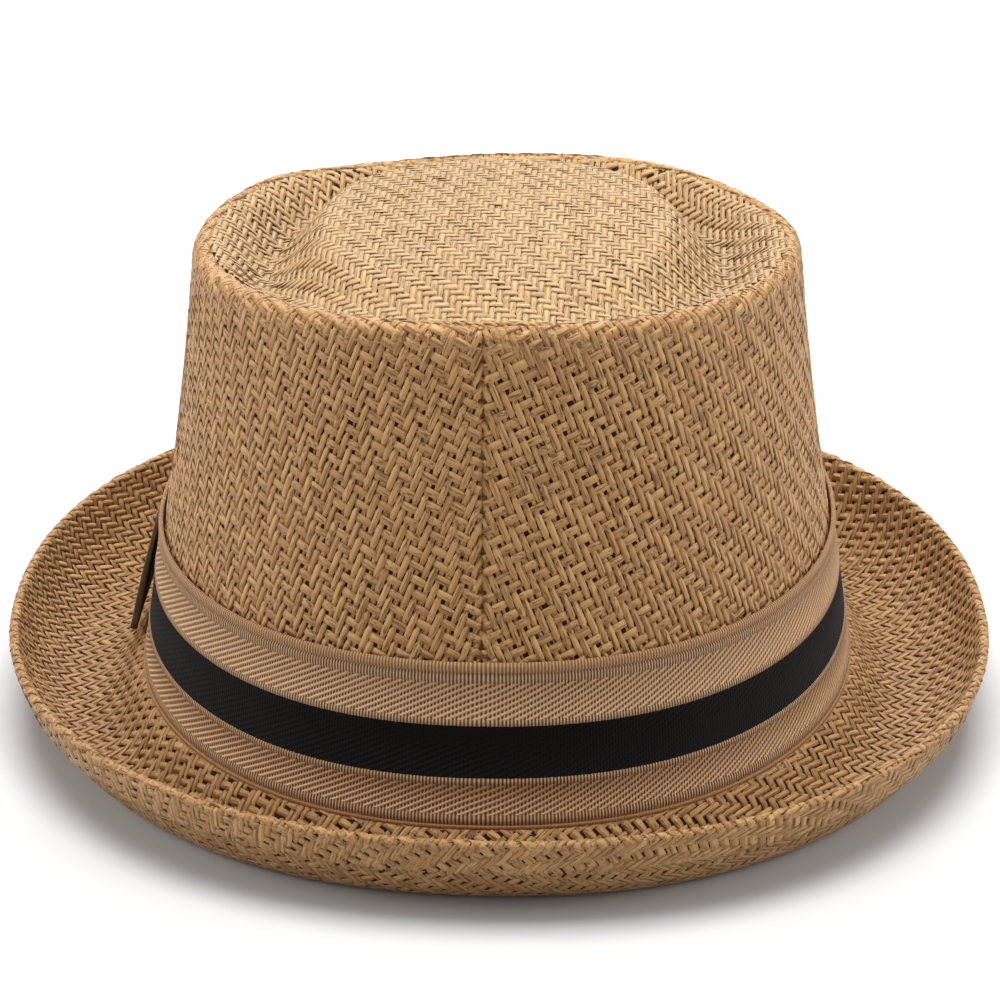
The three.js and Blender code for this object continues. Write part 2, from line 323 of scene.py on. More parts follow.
class Finish:
    """A procedural material that is being put together."""

    def __init__(self, name):
        self.material = bpy.data.materials.new(name)
        self.material.use_nodes = True
        self.tree = self.material.node_tree
        self.shader = self.tree.nodes["Principled BSDF"]

    def node(self, kind, settings, *values, **named):
        """Adds a node and returns its outputs. Values go to its sockets in order or by name."""
        node = self.tree.nodes.new(kind)
        for key, value in settings.items():
            setattr(node, key, value)
        for place, value in enumerate(values):
            self.plug(node.inputs[place], value)
        for key, value in named.items():
            self.plug(node.inputs[key.replace("_", " ")], value)
        return [Wire(self, socket) for socket in node.outputs]

    def plug(self, socket, value):
        if isinstance(value, Wire):
            self.tree.links.new(value.socket, socket)
        elif socket.type == "RGBA" and len(value) == 3:
            socket.default_value = (*value, 1)
        else:
            socket.default_value = value

    def set(self, **values):
        """Sets or links sockets of the surface shader by their names."""
        for name, value in values.items():
            self.plug(self.shader.inputs[name.replace("_", " ")], value)

    def mix(self, factor, first, second):
        """A colour between two colours."""
        node = self.tree.nodes.new("ShaderNodeMix")
        node.data_type = "RGBA"
        sockets = [s for s in node.inputs if s.type == "RGBA"]
        self.plug(node.inputs[0], factor)
        self.plug(sockets[0], first)
        self.plug(sockets[1], second)
        return Wire(self, [s for s in node.outputs if s.type == "RGBA"][0])

    def vector(self, x, y, z):
        return self.node("ShaderNodeCombineXYZ", {}, x, y, z)[0]

    def uv_parts(self):
        """The three parts of the piece's UV map."""
        place = self.node("ShaderNodeUVMap", {"uv_map": "UVMap"})[0]
        return self.node("ShaderNodeSeparateXYZ", {}, place)

    def own_space(self):
        """Places in the piece's own space."""
        return self.node("ShaderNodeTexCoord", {})[3]

    def attribute(self, name):
        return self.node("ShaderNodeAttribute", {"attribute_name": name})[2]

    def noise(self, place, scale=1.0, detail=2.0):
        return self.node("ShaderNodeTexNoise", {}, Vector=place, Scale=scale, Detail=detail)[0]

    def bump(self, height, distance, strength=1.0):
        """Raises the surface by a height from 0 to 1, over a distance in metres."""
        self.set(Normal=self.node(
            "ShaderNodeBump", {}, Strength=strength, Distance=distance, Height=height)[0])


def straw_finish(name, light, dark, crease=0.45):
    """Paper straw: each strand has its own tone, fine lengthwise creases with painted shade in
    them, and a faint gloss.
    """
    finish = Finish(name)
    across, along, _ = finish.uv_parts()
    tone = finish.attribute("tone")
    fibre_place = finish.vector(across * 15, along * 0.07, tone * 41)
    fibre = finish.noise(fibre_place)
    crest = (fibre - 0.345) * 8
    blotch = finish.noise(finish.vector(across * 0.8, along * 0.35, tone * 23))
    base = finish.mix(tone * 0.6 + blotch * 0.8 - 0.25, dark, light)
    # Painted shade in the fine creases: where the fibre noise dips, the strand is painted the
    # dark straw dimmed to the share crease
    base = finish.mix(crest, dim(dark, crease), base)
    finish.set(Base_Color=base, Roughness=0.4 + blotch * 0.3, Specular_IOR_Level=0.42,
               Sheen_Weight=0.06, Sheen_Roughness=0.5)
    height = crest.maths("MINIMUM", crest.maths("MAXIMUM", crest, 0.0), 1.0)
    crowned = (across * 4 + 0.5).wave()
    finish.bump(height * 0.8 + fibre * 0.5 + crowned * 0.2, 0.14 * MM, 0.8)
    return finish.material


def ribbon_finish(sizes, colours, perimeter):
    """Ribbon: beige twill, a black stripe, ribbed lines and rolled edges."""
    finish = Finish("ribbon_weave")
    round_share, up, _ = finish.uv_parts()
    length = round_share * perimeter
    rise = up * BAND_HEIGHT
    slant = math.radians(27)
    rib = (length / sizes.ribbon_rib_pitch).wave()
    across_ridges = rise * math.cos(slant) - length * math.sin(slant)
    ridge = (across_ridges / sizes.ribbon_twill_pitch).wave()
    valley = (1 - ridge) * (1 - rib * 0.75)
    twill = 1 - valley.maths("POWER", valley, 0.75)
    kinds = {"rolled edge": 0.0, "ribbed edge": 0.0, "upright ribs": 0.0, "dark twill": 0.0}
    wobble = finish.noise(finish.vector(length * 1100, 0.0, 0.0))
    up = up + (wobble - 0.5) * 0.012
    low = BAND_FOOT - 0.1
    for stripe in BAND_STRIPES:
        if stripe["weave"] in kinds:
            inside = (up > low) * (up < stripe["top"])
            kinds[stripe["weave"]] = inside + kinds[stripe["weave"]]
        low = stripe["top"]
    rolled, dark = kinds["rolled edge"], kinds["dark twill"]
    ribbed = kinds["upright ribs"] + kinds["ribbed edge"]
    plain = 1 - ribbed - rolled - dark
    height = twill * (plain + dark * 0.5) + (rib * 0.65 + 0.15) * ribbed + rib * rolled * 0.15
    fuzz = finish.noise(finish.vector(length * 1400, rise * 1400, 0.0))
    broad = finish.noise(finish.vector(length * 60, rise * 200, 0.0))
    beige = colours.ribbon_beige
    # Painted shade: the lower the weave, in the twill's valleys and between the ribs, the
    # darker the beige, down to nearly black; fuzz adds random variation
    shade = height * 1.9 + rolled * 0.5 + fuzz * 0.5 - 0.75
    pale = finish.mix(shade, dim(beige, 0.06), beige)
    pale = finish.mix(broad * 0.3, pale, dim(beige, 0.75))
    brown = colours.ribbon_edge
    # The rolled edges vary at random and are painted darker between their ribs: painted shade
    edge = finish.mix(fuzz + rib * 0.4 - 0.2, dim(brown, 0.6), brown)
    colour = finish.mix(rolled * 0.85 + kinds["ribbed edge"] * 0.45, pale, edge)
    # The black stripe is painted darker in its twill's valleys: painted shade, with some random
    # variation
    black = finish.mix(twill + fuzz * 0.3, dim(colours.ribbon_black, 0.5), colours.ribbon_black)
    finish.set(Base_Color=finish.mix(dark, colour, black), Roughness=0.8 + fuzz * 0.15,
               Specular_IOR_Level=0.12, Sheen_Weight=0.04, Sheen_Roughness=0.5)
    finish.bump(height + fuzz * 0.25, 0.42 * MM, 0.9)
    return finish.material


def thread_finish(name, colour):
    """Sewing thread with a fine twist."""
    finish = Finish(name)
    across, along, _ = finish.uv_parts()
    twist = (across * 2 + along * 1.6).wave()
    # Painted shade: the thread is darker in the grooves of its twist
    finish.set(Base_Color=finish.mix(twist, dim(colour, 0.7), colour), Roughness=0.6)
    finish.bump(twist, 0.08 * MM, 0.7)
    return finish.material


def leather_finish(colours):
    """Dark matt leather with a fine grain and a worn, lighter rim."""
    finish = Finish("tab_leather_grain")
    place = finish.own_space()
    cells = finish.node(
        "ShaderNodeTexVoronoi", {"feature": "DISTANCE_TO_EDGE"}, Vector=place, Scale=1900.0)[0]
    mottle = finish.noise(place, 260.0, 4.0)
    wear = finish.attribute("wear")
    worn = wear * (0.35 + mottle * 0.9)
    base = finish.mix(mottle, dim(colours.leather, 0.75), dim(colours.leather, 1.25))
    finish.set(Base_Color=finish.mix(worn, base, colours.leather_edge),
               Roughness=0.6 + mottle * 0.2, Specular_IOR_Level=0.3)
    finish.bump(cells * 3 + mottle * 0.4, 0.12 * MM, 0.5)
    return finish.material


def dim(colour, share):
    """A colour with its light scaled."""
    return tuple(part * share for part in colour)


# Shapes of the hat


def oval(turn):
    """Point of the oval with half width and half length 1."""
    power = 2 / OVAL_POWER
    x, y = np.cos(turn), np.sin(turn)
    return np.sign(x) * np.abs(x) ** power, np.sign(y) * np.abs(y) ** power


def side_share(turn):
    """1 at the left and right of the hat, 0 at its front and back."""
    return np.abs(oval(turn)[0]) ** OVAL_POWER


def blend_round(size, turn):
    """A size given for the side, the front and the back, worked out between them."""
    end = np.where(np.sin(turn) > 0, size["back"], size["front"])
    return end + (size["side"] - end) * side_share(turn)


def outward(turn, half_width, half_length):
    """Level direction that points out of an oval."""
    x, y = oval(turn)
    power = OVAL_POWER - 1
    way = np.stack([
        np.sign(x) * np.abs(x) ** power / half_width,
        np.sign(y) * np.abs(y) ** power / half_length,
        np.zeros_like(x),
    ], -1)
    return way / np.linalg.norm(way, axis=-1, keepdims=True)


def head_outward(turn):
    """Level direction that points out of the head ring."""
    return outward(turn, HEAD_HALF_WIDTH, HEAD_HALF_LENGTH)


def crest_outward(turn):
    """Level direction that points out of the crest."""
    return outward(turn, CREST_HALF_WIDTH, CREST_HALF_LENGTH)


def ring_point(turn, half_width, half_length, height):
    """Point of an oval ring round the hat's middle."""
    x, y = oval(turn)
    return np.stack([half_width * x, CROWN_CENTRE_Y + half_length * y, height + 0 * x], -1)


def head_point(turn):
    """Point of the head ring, where crown and brim meet."""
    height = HEAD_HEIGHT + HEAD_SIDE_RISE * side_share(turn)
    return ring_point(turn, HEAD_HALF_WIDTH, HEAD_HALF_LENGTH, height)


def crest_dent(turn, column):
    """Lift or inward push of the crest's dents."""
    total = 0 * turn
    for dent in CREST_DENTS:
        at = math.radians(dent["at"])
        away = np.arctan2(np.sin(turn - at), np.cos(turn - at))
        total = total + dent[column] * np.exp(-((away / math.radians(dent["spread"])) ** 2))
    return total * CREST_DENT


def crest_point(turn, inset, down):
    """Point on top of the crest, moved inward and down."""
    height = CREST_HEIGHT + CREST_SLOPE * oval(turn)[1] + crest_dent(turn, "lift") - down
    place = ring_point(turn, CREST_HALF_WIDTH, CREST_HALF_LENGTH, height)
    move = -inset - crest_dent(turn, "push")
    return place + crest_outward(turn) * move[..., None]


def fold_point(turn, angle):
    """Point of the fold that runs from the top of the wall over to the crest."""
    drop = CREST_FOLD_RADIUS * (1 - math.sin(angle))
    return crest_point(turn, -CREST_FOLD_RADIUS * math.cos(angle) + 0 * turn, drop)


def wall_point(turn, up):
    """Point of the crown wall's outer face, at a share of its height."""
    bottom = head_point(turn)
    top = fold_point(turn, FOLD_START)
    inset = np.interp(up, WALL_ROWS["up"], WALL_ROWS["inset"])
    share = np.stack([inset, inset, up], -1)
    return bottom + (top - bottom) * share


def crest_seam(turn):
    """How far inside the crest its seam lies."""
    away = turn - CREST_SEAM["at"]
    away = np.arctan2(np.sin(away), np.cos(away))
    farther = np.exp(-((away / CREST_SEAM["spread"]) ** 4))
    return CREST_SEAM["inset"] + CREST_SEAM["farther"] * farther


def tip_point(turn, inset):
    """Point of the tip between the crest and the bottom of its groove, at a way in."""
    share = inset / blend_round(GROOVE_INSET, turn)
    down = np.interp(share, GROOVE_ROWS["inset"], GROOVE_ROWS["down"])
    return crest_point(turn, inset, blend_round(GROOVE_DEPTH, turn) * down)


def plateau_point(turn, share):
    """Point of the tip's bowed top, between the groove and the middle."""
    groove = crest_point(turn, blend_round(GROOVE_INSET, turn), blend_round(GROOVE_DEPTH, turn))
    x = groove[..., 0] * share
    y = (groove[..., 1] - CROWN_CENTRE_Y) * share
    away = y - PLATEAU_TOP_SHIFT
    front = away < 0
    reach = np.where(front, CREST_HALF_LENGTH + PLATEAU_TOP_SHIFT,
                     CREST_HALF_LENGTH - PLATEAU_TOP_SHIFT)
    fall = np.where(front, PLATEAU_FALL["front"], PLATEAU_FALL["back"]) * (away / reach) ** 2
    fall = fall + PLATEAU_FALL["side"] * (x / CREST_HALF_WIDTH) ** 2
    rise = min((1 - share) / PLATEAU_SHOULDER, 1)
    rise = rise * rise * (3 - 2 * rise)
    top = CREST_HEIGHT + PLATEAU_RISE - fall
    return np.stack([x, CROWN_CENTRE_Y + y, groove[..., 2] + (top - groove[..., 2]) * rise], -1)


def band_point(turn, up, out):
    """Point at a share of the ribbon's height, a way out from the crown wall."""
    bottom = wall_point(turn, 0 * turn)[..., 2]
    wall_height = wall_point(turn, 1 + 0 * turn)[..., 2] - bottom
    height = BAND_HEIGHT - BAND_TOP_SIDE_DROP * side_share(turn) - BAND_GAP
    rise = BAND_GAP + height * up
    way = head_outward(turn)
    return wall_point(turn, rise / wall_height) + way * np.asarray(out)[..., None]


def lengths_along(points):
    """Way gone along rows of points."""
    steps = np.linalg.norm(np.diff(points, axis=-2), axis=-1)
    start = np.zeros(steps.shape[:-1] + (1,))
    return np.concatenate([start, np.cumsum(steps, axis=-1)], -1)


def even_rows(columns, count):
    """The same columns of points, with the points of each column evenly spaced."""
    ways = lengths_along(columns)
    rows = np.empty((len(columns), count, 3))
    for place, (column, way) in enumerate(zip(columns, ways)):
        even = np.linspace(0, way[-1], count)
        for axis in range(3):
            rows[place, :, axis] = np.interp(even, way, column[:, axis])
    return rows, ways[:, -1]


def blend_grid(grid, column, row):
    """Values of a grid at places between its columns and rows."""
    column = np.clip(column, 0, grid.shape[0] - 1.001)
    row = np.clip(row, 0, grid.shape[1] - 1.001)
    c, r = column.astype(int), row.astype(int)
    share_c, share_r = column - c, row - r
    if grid.ndim > 2:
        share_c, share_r = share_c[:, None], share_r[:, None]
    low = grid[c, r] * (1 - share_c) + grid[c + 1, r] * share_c
    high = grid[c, r + 1] * (1 - share_c) + grid[c + 1, r + 1] * share_c
    return low * (1 - share_r) + high * share_r


def at_column(column, values):
    """Values given for the columns round the hat, at places between the columns."""
    return np.interp(column, np.arange(len(values)), values)


def even_out(values):
    """Blends each row of values with the rows beside it, in place."""
    values[1:-1] = (values[:-2] + 2 * values[1:-1] + values[2:]) / 4


class Sheet:
    """A cloth's middle surface: columns round the hat, evenly spaced rows across it."""

    def __init__(self, points, flip=False):
        self.points = points
        along = np.gradient(points, axis=0)
        along[0] = along[-1] = (points[1] - points[-2]) / 2
        normals = np.cross(along, np.gradient(points, axis=1))
        if flip:
            normals = -normals
        self.normals = normals / np.linalg.norm(normals, axis=-1, keepdims=True)

    def at(self, column, row):
        """Points and outward directions at places between the columns and rows."""
        place = blend_grid(self.points, column, row)
        way = blend_grid(self.normals, column, row)
        return place, way / np.linalg.norm(way, axis=1, keepdims=True)


class RingPlan:
    """An oval seen from above, which tells how far round and how far out a place lies."""

    def __init__(self, points, ways):
        self.points = points[:-1, :2]
        self.ways = ways[:-1, :2]
        self.along = np.stack([-self.ways[:, 1], self.ways[:, 0]], -1)

    def locate(self, place):
        """Column round the ring and way out of it, for places seen from above."""
        column = np.empty(len(place))
        for start in range(0, len(place), 4000):
            part = place[start:start + 4000]
            gap = part[:, None, :] - self.points[None]
            nearest = np.argmin((gap ** 2).sum(-1), axis=1)
            ahead = ((part - self.points[nearest]) * self.along[nearest]).sum(-1)
            step = np.where(ahead > 0, 1, -1)
            other = (nearest + step) % len(self.points)
            beyond = ((part - self.points[other]) * self.along[other]).sum(-1)
            share = np.clip(ahead / np.where(ahead == beyond, 1, ahead - beyond), 0, 1)
            column[start:start + 4000] = nearest + step * share
        column %= len(self.points)
        first = column.astype(int) % len(self.points)
        second = (first + 1) % len(self.points)
        share = (column - column.astype(int))[:, None]
        point = self.points[first] * (1 - share) + self.points[second] * share
        way = self.ways[first] * (1 - share) + self.ways[second] * share
        return column, ((place - point) * way).sum(-1)


# Weaving


# Corners of a section, across as a share of its width and up as a share of its thickness, and
# which of its sides are shaded soft
STRAW = {
    "section": np.array([(-0.46, -0.5), (0.46, -0.5), (0.5, 0.5), (-0.5, 0.5)]),
    "soft": (True, False, True, False),
}
THREAD = {
    "section": np.array([(-0.36, -0.36), (0.36, -0.36), (0.5, 0.15), (0.0, 0.5), (-0.5, 0.15)]),
    "soft": (True,) * 5,
}

# Two-and-two twill: heights at a strand's bends, and how far a float runs past its crossings
TWILL_HEIGHTS = np.array([0.0, 1.0, 1.0, 0.0, -1.0, -1.0])
FLOAT_REACH = {"warp": 0.27, "weft": 0.2}

# How much a strand varies along its way
UNEVEN = {"lift": 0.12, "width": 0.1, "thickness": 0.1, "roll": 0.14, "tone": 0.16}
# Sideways drift of a strand as shares of the long strands' pitch, and how slowly it changes
DRIFTS = ({"share": 0.035, "bends": 4}, {"share": 0.05, "bends": 17})
# A pressed strand lies flatter and wider
PRESSED = {"flatter": 0.5, "wider": 0.09}
# Share of its width that a strand has where it passes from one face of the cloth to the other
PASSING_WIDTH = 0.8
# Least share of a crossing between two bends of a strand
LEAST_STEP = 0.06
# A bend is added where the surface turns so far that the cosine of the turn is less than this
SHARP_TURN = 0.92


def half_cloth(sizes):
    """Half the thickness of woven cloth."""
    return sizes.strand_relief + sizes.strand_thickness / 2


class Cloth:
    """A piece of twill: its strands lie in a flat chart, which is laid on a surface."""

    def __init__(self, sizes, part, chart_box, place, inside, pressed):
        self.warp_pitch = getattr(sizes, part + "_warp_pitch")
        self.weft_pitch = getattr(sizes, part + "_weft_pitch")
        self.warp_width = self.warp_pitch * sizes.warp_fill
        self.weft_width = self.weft_pitch * sizes.weft_fill
        self.thickness = sizes.strand_thickness
        self.relief = sizes.strand_relief
        self.chart_box = chart_box
        self.place = place
        self.inside = inside
        self.pressed = pressed
        self.shade_sheet_places = None

    def strands(self, kind, rng):
        """All runs of the warps or the wefts that lie inside the cloth's outline."""
        (left, low), (right, high) = self.chart_box
        if kind == "warp":
            first, last = int(left / self.warp_pitch), int(right / self.warp_pitch)
            start, end = low / self.weft_pitch, high / self.weft_pitch
        else:
            first, last = int(low / self.weft_pitch), int(high / self.weft_pitch)
            start, end = left / self.warp_pitch, right / self.warp_pitch
        for index in range(first - 1, last + 2):
            phase = (index + 1 if kind == "warp" else index) % 4
            periods = np.arange(math.floor(start / 4) - 1, math.ceil(end / 4) + 2) * 4 + phase
            reach = FLOAT_REACH[kind]
            bends = np.array([-0.5, -reach, 1 + reach, 1.5, 2 - reach, 3 + reach])
            steps = (periods[:, None] + bends[None]).ravel()
            heights = np.tile(TWILL_HEIGHTS, len(periods))
            yield from self.runs(kind, index, steps, heights, rng)

    def chart(self, kind, index, steps, drift):
        """Chart coordinates of places along a strand."""
        if kind == "warp":
            return np.stack([index * self.warp_pitch + drift, steps * self.weft_pitch], -1)
        return np.stack([steps * self.warp_pitch, index * self.weft_pitch + drift], -1)

    def runs(self, kind, index, steps, heights, rng):
        """Cuts a strand at the outline and gives each run its points, widths and tones."""
        tone = rng.uniform(0.0, 1.0)
        drift = self.warp_pitch * sum(
            part["share"] * smooth_noise(rng, len(steps), part["bends"]) for part in DRIFTS)
        inside = self.inside(self.chart(kind, index, steps, drift))
        change = np.flatnonzero(np.diff(np.concatenate([[False], inside, [False]]).astype(int)))
        for begin, end in zip(change[::2], change[1::2]):
            head = self.border(kind, index, steps, drift, begin, begin - 1)
            tail = self.border(kind, index, steps, drift, end - 1, end)
            run_steps = np.concatenate([[head], steps[begin:end], [tail]])
            run_heights = np.interp(run_steps, steps, heights)
            run_drift = np.interp(run_steps, steps, drift)
            keep = np.concatenate([[True], np.diff(run_steps) > LEAST_STEP])
            if keep.sum() < 3:
                continue
            run_steps, run_heights = run_steps[keep], run_heights[keep]
            run_drift = run_drift[keep]
            for _ in range(3):
                ways = self.place(self.chart(kind, index, run_steps, run_drift))[1]
                bent = np.flatnonzero((ways[1:] * ways[:-1]).sum(1) < SHARP_TURN) + 1
                between = (run_steps[bent] + run_steps[bent - 1]) / 2
                new_heights = np.interp(between, run_steps, run_heights)
                new_drift = np.interp(between, run_steps, run_drift)
                run_heights = np.insert(run_heights, bent, new_heights)
                run_drift = np.insert(run_drift, bent, new_drift)
                run_steps = np.insert(run_steps, bent, between)
            chart = self.chart(kind, index, run_steps, run_drift)
            points, ways = self.place(chart)
            pressed = self.pressed(chart)
            count = len(points)
            lift = self.relief * run_heights
            lift = lift * (1 + UNEVEN["lift"] * smooth_noise(rng, count, 2))
            lift = lift * (1 - PRESSED["flatter"] * pressed)
            width = self.warp_width if kind == "warp" else self.weft_width
            width = width * (PASSING_WIDTH + (1 - PASSING_WIDTH) * np.abs(run_heights))
            width = width * (1 + PRESSED["wider"] * pressed)
            yield {
                "points": points + ways * lift[:, None],
                "ways": ways,
                "width": width * (1 + UNEVEN["width"] * smooth_noise(rng, count, 4)),
                "thickness": self.thickness * (
                    1 + UNEVEN["thickness"] * smooth_noise(rng, count, 3)),
                "roll": UNEVEN["roll"] * smooth_noise(rng, count, 3),
                "tone": np.clip(tone + UNEVEN["tone"] * smooth_noise(rng, count, 4), 0, 1),
            }

    def border(self, kind, index, steps, drift, inner, outer):
        """Place between two steps where the strand leaves the outline."""
        if outer < 0 or outer >= len(steps):
            return steps[inner]
        near, far = steps[inner], steps[outer]
        for _ in range(7):
            middle = (near + far) / 2
            place = self.chart(kind, index, np.array([middle]), drift[inner:inner + 1])
            if self.inside(place)[0]:
                near = middle
            else:
                far = middle
        return near


def smooth_noise(rng, count, spacing):
    """Random values from -1 to 1 that change slowly along a strand."""
    knots = rng.uniform(-1, 1, count // spacing + 3)
    return np.interp(np.arange(count) / spacing, np.arange(len(knots)), knots)


def strand_mesh(name, runs, shape=STRAW):
    """One mesh of closed strands, with a UV map and a tone along each."""
    section = shape["section"]
    corners = len(section)
    vertices, tones = [], []
    loops, starts, soft, uvs = [], [], [], []
    vertex_count = loop_count = 0
    corner = np.arange(corners)
    following = (corner + 1) % corners
    for run in runs:
        points, ways = run["points"], run["ways"]
        count = len(points)
        along = np.gradient(points, axis=0)
        along /= np.linalg.norm(along, axis=1, keepdims=True)
        side = np.cross(along, ways)
        side /= np.linalg.norm(side, axis=1, keepdims=True)
        up = np.cross(side, along)
        roll = (run.get("roll", 0.0) + np.zeros(count))[:, None]
        cos, sin = np.cos(roll), np.sin(roll)
        side, up = side * cos + up * sin, up * cos - side * sin
        wide = (run["width"] + np.zeros(count))[:, None, None] * side[:, None, :]
        thick = (run["thickness"] + np.zeros(count))[:, None, None] * up[:, None, :]
        rings = points[:, None] + wide * section[None, :, :1] + thick * section[None, :, 1:]
        vertices.append(rings.reshape(-1, 3))
        tones.append(np.repeat(run.get("tone", 0.5) + np.zeros(count), corners))
        base = vertex_count + np.arange(count - 1)[:, None] * corners
        ahead = base + corners
        quads = np.stack([
            base + corner, ahead + corner, ahead + following, base + following,
        ], -1).reshape(-1, 4)
        last = vertex_count + (count - 1) * corners
        caps = np.stack([vertex_count + corner, last + corner[::-1]])
        loops += [quads.ravel(), caps.ravel()]
        starts.append(loop_count + np.arange(len(quads)) * 4)
        loop_count += quads.size
        starts.append(loop_count + np.arange(2) * corners)
        soft.append(np.concatenate([np.tile(shape["soft"], count - 1), [False, False]]))
        loop_count += caps.size
        way = lengths_along(points) / MM + vertex_count % 997
        near = np.broadcast_to(way[:-1, None], (count - 1, corners))
        far = np.broadcast_to(way[1:, None], (count - 1, corners))
        left = np.broadcast_to(corner / corners, (count - 1, corners))
        right = left + 1 / corners
        uvs.append(np.stack([
            left, near, left, far, right, far, right, near], -1).reshape(-1, 2))
        uvs.append(np.stack([
            np.full(2 * corners, 0.5), np.repeat([way[0], way[-1]], corners)], -1))
        vertex_count += count * corners
    mesh = bpy.data.meshes.new(name)
    mesh.vertices.add(vertex_count)
    mesh.vertices.foreach_set("co", np.concatenate(vertices).ravel())
    loops = np.concatenate(loops)
    starts = np.concatenate(starts)
    mesh.loops.add(len(loops))
    mesh.loops.foreach_set("vertex_index", loops)
    mesh.polygons.add(len(starts))
    mesh.polygons.foreach_set("loop_start", starts)
    mesh.polygons.foreach_set("use_smooth", np.concatenate(soft))
    mesh.uv_layers.new(name="UVMap").data.foreach_set("uv", np.concatenate(uvs).ravel())
    tone = mesh.attributes.new("tone", "FLOAT", "POINT")
    tone.data.foreach_set("value", np.concatenate(tones))
    mesh.update(calc_edges=True)
    piece = bpy.data.objects.new(name, mesh)
    bpy.context.scene.collection.objects.link(piece)
    return piece


def finish_piece(piece, material, node):
    """Gives a piece its material and its body, and hides the node that it stands for."""
    piece.data.materials.append(material)
    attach(piece, "root")
    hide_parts(node)


def round_turns(start_degrees, count):
    """Turns once round the hat, with the first again at the end."""
    start, end = math.radians(start_degrees), math.radians(start_degrees + 360)
    return np.linspace(start, end, count + 1)


def crown_cloth(sizes):
    """The crown wall's cloth: one curved strip whose ends meet at the back."""
    turn = round_turns(BACK, COLUMNS)
    rows = [wall_point(turn, up + 0 * turn) for up in np.linspace(0, 1, 40)]
    rows += [fold_point(turn, angle) for angle in np.linspace(FOLD_START, math.pi / 2, 8)[1:]]
    outer = Sheet(np.stack(rows, 1))
    half = half_cloth(sizes)
    middle = outer.points - outer.normals * half
    seam = crest_seam(turn)
    tuck = [tip_point(turn, seam * share) - UP * half for share in (0.35, 0.75)]
    for inset, drop in ((0, 0.1), (0.3, 0.5), (0.4, 1.3), (0.4, 2.6)):
        tuck.append(tip_point(turn, seam + inset * MM) - UP * (half + drop * MM))
    columns, lengths = even_rows(np.concatenate([middle, np.stack(tuck, 1)], 1), SHEET_ROWS)
    sheet = Sheet(columns)
    way_round = lengths_along(head_point(turn))
    perimeter = way_round[-1]
    height = lengths.mean()
    radius = perimeter / (2 * sizes.seam_grain_angle)

    def unroll(chart):
        """Angle round the chart, rise up the wall and way from the back seam."""
        angle = np.arctan2(chart[:, 0], chart[:, 1])
        rise = radius - np.hypot(chart[:, 0], chart[:, 1])
        return angle, rise, (sizes.seam_grain_angle - np.abs(angle)) * (radius - rise)

    def place(chart):
        angle, rise, to_seam = unroll(chart)
        column = np.interp(angle * radius + perimeter / 2, way_round, np.arange(COLUMNS + 1))
        points, ways = sheet.at(column, rise / height * (SHEET_ROWS - 1))
        tucked = np.clip(1 - to_seam / BACK_SEAM["reach"], 0, 1) ** 2 * BACK_SEAM["depth"]
        return points - ways * tucked[:, None], ways

    def inside(chart):
        _, rise, to_seam = unroll(chart)
        return (to_seam > 0) & (rise > 0) & (rise < height)

    def pressed(chart):
        past = unroll(chart)[1] - height + CREST_PRESS["before_end"]
        return np.clip(past / CREST_PRESS["over"], 0, 1)

    reach = radius * math.sin(sizes.seam_grain_angle)
    lowest = (radius - height) * math.cos(sizes.seam_grain_angle)
    box = ((-reach, lowest), (reach, radius))
    cloth = Cloth(sizes, "crown", box, place, inside, pressed)
    cloth.shade_sheet_places = (sheet.points - sheet.normals * 0.05 * MM)[2:-2:4, ::5]
    return cloth


